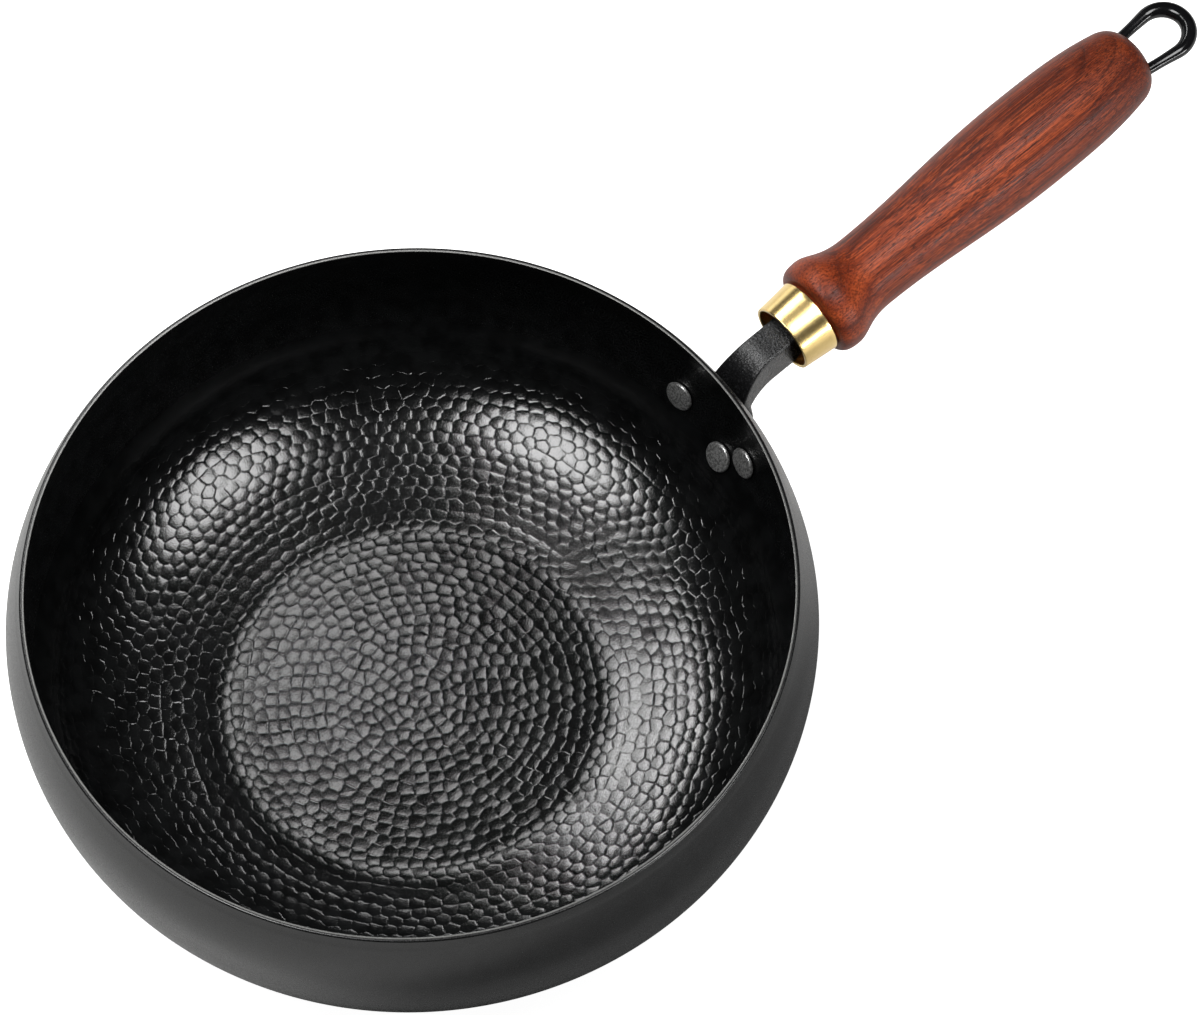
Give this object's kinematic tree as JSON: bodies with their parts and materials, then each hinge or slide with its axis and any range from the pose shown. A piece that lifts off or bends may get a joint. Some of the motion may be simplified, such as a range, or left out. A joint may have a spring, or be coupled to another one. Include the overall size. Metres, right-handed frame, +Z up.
{
  "type": "wok",
  "caption": "Flat-based cast iron wok with a bulged wall and inward rim, a riveted channel bracket, brass ferrule, turned wooden handle and wire hanging loop.",
  "frame": {"origin": "on the turning axis of the wok, in the plane of its flat underside", "axes": "+X towards the end of the handle, +Z up out of the wok's mouth"},
  "size_m": [0.5727, 0.3192, 0.1025],
  "materials": {
    "iron_body": "seasoned black, hammered inside",
    "bracket_steel": "fine textured black",
    "rivet_steel": "dull grey",
    "ferrule_brass": "satin",
    "grip_wood": "oiled red-brown, long grain",
    "loop_wire": "gloss black"
  },
  "bodies": {
    "root": {"pan_body": "iron_body", "handle_bracket": "bracket_steel", "rivet_left": "rivet_steel", "rivet_right": "rivet_steel", "rivet_lower": "rivet_steel", "ferrule": "ferrule_brass", "wooden_grip": "grip_wood", "hanging_loop": "loop_wire"}
  },
  "joints": []
}
